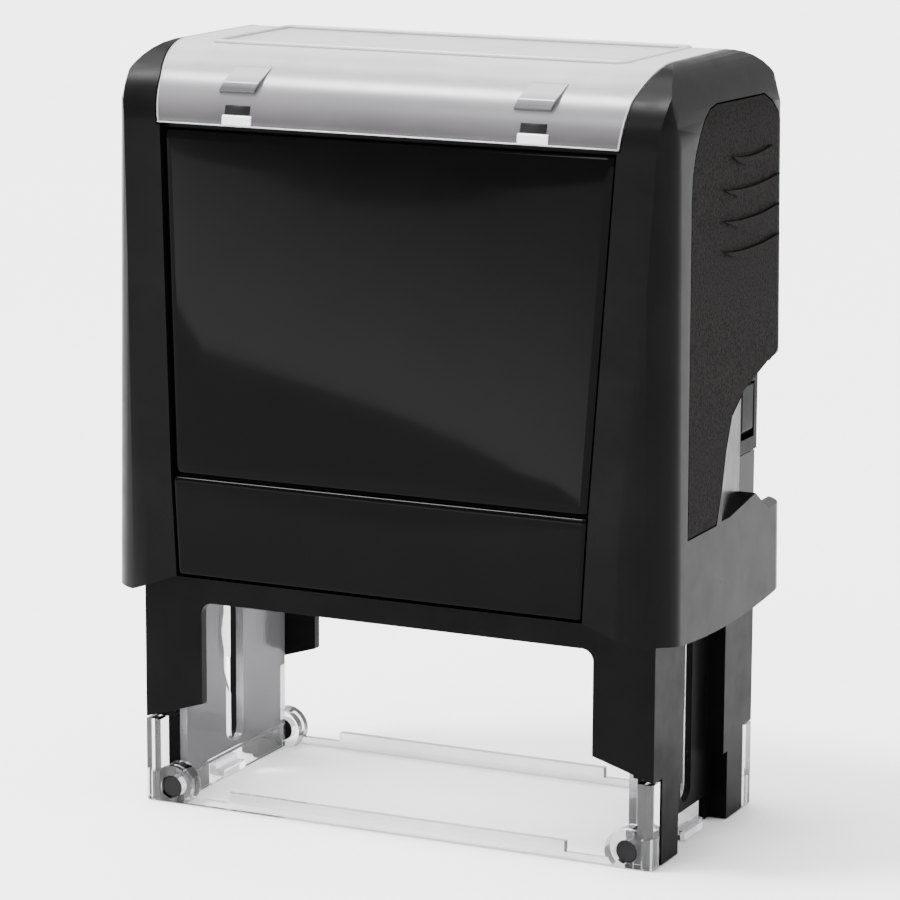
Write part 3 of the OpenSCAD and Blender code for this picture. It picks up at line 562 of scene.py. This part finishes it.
def coil_spring():
    """Round-wire compression spring with closed end turns."""
    low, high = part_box("return_spring")
    wire = 0.6 * MM
    radius = high.x - wire
    bottom, top = low.z + wire, high.z - wire
    turns, per_turn = 11, 28
    end_rise = 2.15 * wire
    count = turns * per_turn
    points = []
    for k in range(count + 1):
        turn = k / per_turn
        if turn <= 1:
            z = bottom + end_rise * turn
        elif turn >= turns - 1:
            z = top - end_rise * (turns - turn)
        else:
            z = bottom + end_rise + (top - bottom - 2 * end_rise) * smooth_pitch((turn - 1) / (turns - 2))
        angle = 2 * math.pi * turn
        points.append(Vector((radius * math.cos(angle), radius * math.sin(angle), z)))
    verts, faces = tube(points, wire, TUBE_SIDES)
    spring = add_piece("coil_spring", verts, faces, STEEL, "base")
    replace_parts(spring, "return_spring")
    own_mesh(spring)


def smooth_pitch(share):
    """Height share along the coil, with the pitch easing in and out at the closed turns."""
    ease = 0.06
    return share + ease * math.sin(-2 * math.pi * share) / (2 * math.pi)


def tube(points, radius, sides, upright=False):
    """Closed round tube along an open line of points. An upright one turns its rings round the X axis."""
    verts, faces = [], []
    for k, p in enumerate(points):
        ahead = (points[min(k + 1, len(points) - 1)] - points[max(k - 1, 0)]).normalized()
        across = ahead.cross(Vector((1, 0, 0) if abs(ahead.x) < 0.5 and upright else (0, 0, 1))).normalized()
        up = across.cross(ahead)
        for m in range(sides):
            a = 2 * math.pi * m / sides
            verts.append(p + (across * math.cos(a) + up * math.sin(a)) * radius)
    for k in range(len(points) - 1):
        for m in range(sides):
            n = (m + 1) % sides
            faces.append((k * sides + m, k * sides + n, (k + 1) * sides + n, (k + 1) * sides + m))
    faces.append(tuple(range(sides - 1, -1, -1)))
    faces.append(tuple((len(points) - 1) * sides + m for m in range(sides)))
    return verts, faces


coil_spring()
crowned_panel("gloss_front_panel", "front_panel", -1, border=1.8 * MM, drop=0.7 * MM, crown=0.45 * MM,
              thickness=1.2 * MM)
crowned_panel("gloss_label_band", "front_label_band", -1, border=0.9 * MM, drop=0.45 * MM, crown=0.15 * MM,
              thickness=1.5 * MM)
crowned_panel("gloss_back_panel", "back_panel", 1, border=2.4 * MM, drop=0.7 * MM, crown=0.3 * MM,
              thickness=1.4 * MM)
frosted_cover()


# ---------------------------------------------------------------- camera

# Azimuth, elevation and roll in degrees, distance in metres, side shift and rise in mm, and lens in mm, all
# solved from the photograph's view of the base.
VIEW_ANGLES = (25.269, 11.636, 0.246)
VIEW_DISTANCE = 0.677087
VIEW_OFFSET = Vector((0.041, 2.22, 0))
VIEW_LENS = 158.32
# The height that the camera and the lights aim at.
MIDDLE_HEIGHT = 0.060


def make_camera():
    """The photograph's view: a long lens from the front right, a little above the middle."""
    azimuth, elevation, roll = (math.radians(a) for a in VIEW_ANGLES)
    aim, distance = Vector((0, 0, MIDDLE_HEIGHT)), VIEW_DISTANCE
    offset = VIEW_OFFSET * MM
    right = Vector((math.cos(azimuth), math.sin(azimuth), 0))
    back = Vector((math.sin(azimuth) * math.cos(elevation), -math.cos(azimuth) * math.cos(elevation),
                   math.sin(elevation)))
    up = back.cross(right)
    right, up = (right * math.cos(roll) + up * math.sin(roll), up * math.cos(roll) - right * math.sin(roll))
    data = bpy.data.cameras.new("camera")
    data.lens = VIEW_LENS
    data.sensor_width = 36
    data.clip_start, data.clip_end = 0.01, 20
    cam = bpy.data.objects.new("camera", data)
    bpy.context.collection.objects.link(cam)
    turn = Matrix((right, up, back)).transposed()
    place = aim + right * offset.x + up * offset.y + back * distance
    cam.matrix_world = Matrix.Translation(place) @ turn.to_4x4()
    bpy.context.scene.camera = cam


# ---------------------------------------------------------------- floor and light

def make_floor():
    """A plain pale floor, just below the part's feet."""
    floor_half, below_feet = 4.0, 0.0002
    mesh = bpy.data.meshes.new("floor")
    floor_mesh = bmesh.new()
    bmesh.ops.create_grid(floor_mesh, x_segments=2, y_segments=2, size=floor_half)
    floor_mesh.to_mesh(mesh)
    floor_mesh.free()
    floor = bpy.data.objects.new("floor", mesh)
    floor.location.z = -below_feet
    bpy.context.collection.objects.link(floor)
    mat, tree, shader = new_material("pale floor")
    two_colours(tree, noise(tree, 3), (0.86, 0.86, 0.86), (0.88, 0.88, 0.88), shader)
    shader.inputs["Roughness"].default_value = 0.6
    mesh.materials.append(mat)


def area_light(name, place, target, size, energy, size_y=None):
    """A rectangular lamp that faces a target and is not seen by the camera."""
    data = bpy.data.lights.new(name, "AREA")
    data.shape = "RECTANGLE"
    data.size = size
    data.size_y = size_y or size
    data.energy = energy
    lamp = bpy.data.objects.new(name, data)
    lamp.location = place
    lamp.rotation_mode = "QUATERNION"
    lamp.rotation_quaternion = (Vector(place) - Vector(target)).to_track_quat("Z", "Y")
    bpy.context.collection.objects.link(lamp)
    lamp.visible_camera = False
    return lamp


def far_light(name, direction, energy, angle):
    """A distant lamp that shines from a direction, as wide as an angle in degrees."""
    sun = bpy.data.lights.new(name, "SUN")
    sun.energy = energy
    sun.angle = math.radians(angle)
    lamp = bpy.data.objects.new(name, sun)
    lamp.rotation_mode = "QUATERNION"
    lamp.rotation_quaternion = Vector(direction).to_track_quat("Z", "Y")
    bpy.context.collection.objects.link(lamp)


def fade_upward(lamp):
    """Makes an area light strongest along its lower edge and dark at its upper edge."""
    lamp.data.use_nodes = True
    tree = lamp.data.node_tree
    place = tree.nodes.new("ShaderNodeNewGeometry")
    apart = tree.nodes.new("ShaderNodeSeparateXYZ")
    ramp = tree.nodes.new("ShaderNodeMapRange")
    ramp.interpolation_type = "SMOOTHSTEP"
    ramp.inputs["To Min"].default_value = 1.0
    ramp.inputs["To Max"].default_value = 0.0
    tree.links.new(place.outputs["Parametric"], apart.inputs["Vector"])
    tree.links.new(apart.outputs["Y"], ramp.inputs["Value"])
    tree.links.new(ramp.outputs["Result"], tree.nodes["Emission"].inputs["Strength"])


# The card stands up, faces the stamp's front, and its lower edge falls to the right.
CARD_TURN = (math.radians(90), math.radians(15), 0)
WORLD_STRENGTH = 1.6


def make_lights():
    """White surroundings, a wide and a narrow light from above, and small lamps for the reflections."""
    world = bpy.data.worlds.new("studio")
    bpy.context.scene.world = world
    world.use_nodes = True
    background = world.node_tree.nodes["Background"]
    background.inputs["Color"].default_value = (1, 1, 1, 1)
    background.inputs["Strength"].default_value = WORLD_STRENGTH
    far_light("overhead", (-0.25, 0.0, 0.95), energy=8, angle=55)
    far_light("overhead spot", (-0.42, -0.24, 0.885), energy=5, angle=12)
    area_light("right side", (1.1, 0.45, 0.35), (0, 0, MIDDLE_HEIGHT), size=0.6, energy=0.2)
    card = area_light("low card", (-0.13, -0.30, 0.081), (0.02, 0.0, 0.08), size=0.22, energy=0.42,
                      size_y=0.095)
    card.rotation_mode = "XYZ"
    card.rotation_euler = CARD_TURN
    fade_upward(card)
    area_light("shoulder glow", (-0.22, -0.62, 0.62), (0.045, -0.02, 0.11), size=0.16, energy=1.6)
    area_light("window fill", (0, 0, 0.030), (0, 0, 0), size=0.074, energy=0.045, size_y=0.034)


make_camera()
make_floor()
make_lights()
